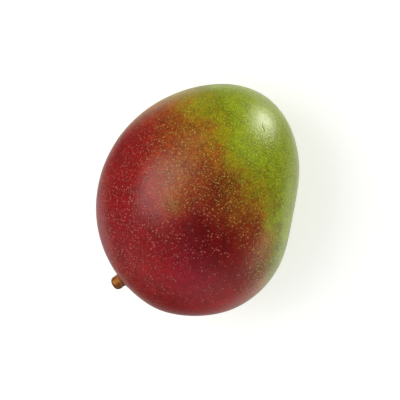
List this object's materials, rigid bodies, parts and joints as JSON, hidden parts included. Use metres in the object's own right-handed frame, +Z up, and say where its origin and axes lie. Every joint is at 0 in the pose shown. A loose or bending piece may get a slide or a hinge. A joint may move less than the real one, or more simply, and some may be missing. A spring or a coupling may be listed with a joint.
{
  "type": "mango",
  "caption": "Whole red and green mango lying on its broad cheek, with the short woody stub of its stalk.",
  "frame": {"origin": "on the flat resting spot under the lower cheek, straight below the fruit's middle", "axes": "+X from the stalk end to the apex, +Y to the fruit's back, +Z up out of the upper cheek"},
  "size_m": [0.1183, 0.0988, 0.087],
  "materials": {
    "skin": "waxy skin, dark red shading through orange to green, with fine pale dots",
    "stalk": "dry, matt, ochre to dark brown"
  },
  "bodies": {
    "root": {"fruit": "skin", "stem": "stalk"}
  },
  "joints": []
}
